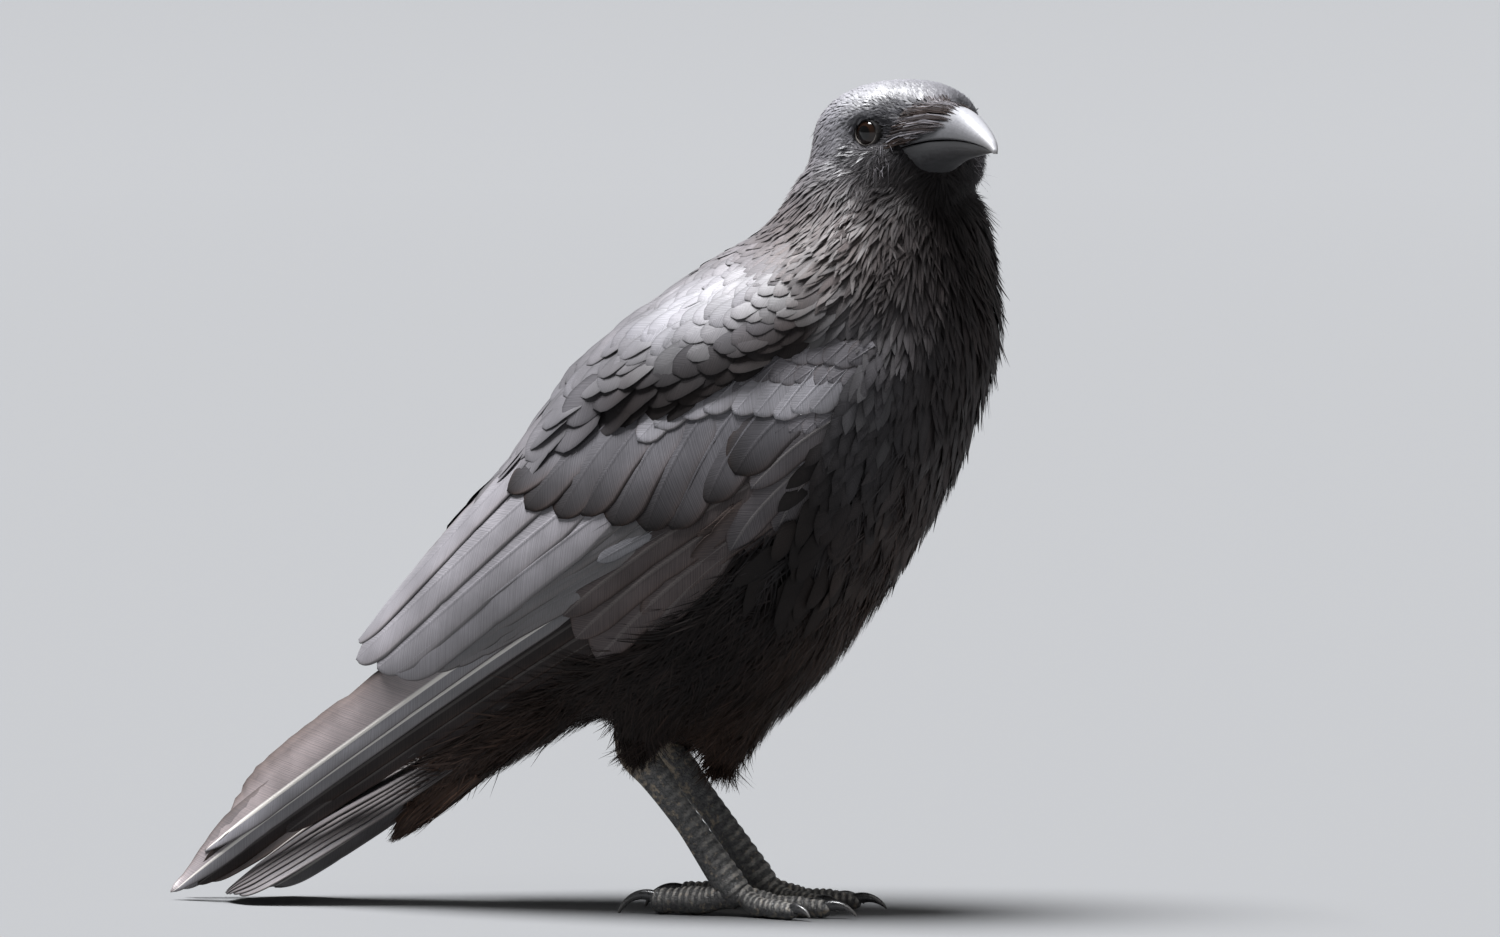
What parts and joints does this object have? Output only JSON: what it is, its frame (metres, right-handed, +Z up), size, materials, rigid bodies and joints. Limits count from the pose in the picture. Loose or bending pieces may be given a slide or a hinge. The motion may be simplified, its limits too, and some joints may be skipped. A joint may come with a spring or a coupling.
{
  "type": "carrion crow",
  "caption": "Standing carrion crow with folded wings, its head turned over the right shoulder and its bill closed.",
  "frame": {"origin": "on the floor, under the middle of the whole bird's box", "axes": "+X the way the breast faces, +Y the bird's own left, +Z up"},
  "size_m": [0.3228, 0.1166, 0.2935],
  "materials": {
    "body_feather": "black contour feathers with a soft sheen",
    "flight_feather": "smooth black vanes with a grey-violet sheen, worn brown at the edges",
    "horn": "satin black horn",
    "leg_scale": "dull black scales with pale edges",
    "claw": "glossy black horn",
    "eye": "wet dark brown"
  },
  "bodies": {
    "root": {"wing_right": "flight_feather", "wing_left": "flight_feather", "primaries_right": "flight_feather", "primaries_left": "flight_feather", "eye_right": "eye", "eye_left": "eye", "tarsus_right": "leg_scale", "tarsus_left": "leg_scale", "toe_middle_right": "leg_scale", "toe_middle_left": "leg_scale", "toe_outer_right": "leg_scale", "toe_outer_left": "leg_scale", "toe_inner_right": "leg_scale", "toe_inner_left": "leg_scale", "hallux_right": "leg_scale", "hallux_left": "leg_scale", "toe_middle_claw_right": "claw", "toe_middle_claw_left": "claw", "toe_outer_claw_right": "claw", "toe_outer_claw_left": "claw", "toe_inner_claw_right": "claw", "toe_inner_claw_left": "claw", "hallux_claw_right": "claw", "hallux_claw_left": "claw", "head": "body_feather", "neck": "body_feather", "trunk": "body_feather", "thigh_right": "body_feather", "thigh_left": "body_feather", "bill_upper": "horn", "bill_lower": "horn", "tail": "flight_feather"}
  },
  "joints": []
}
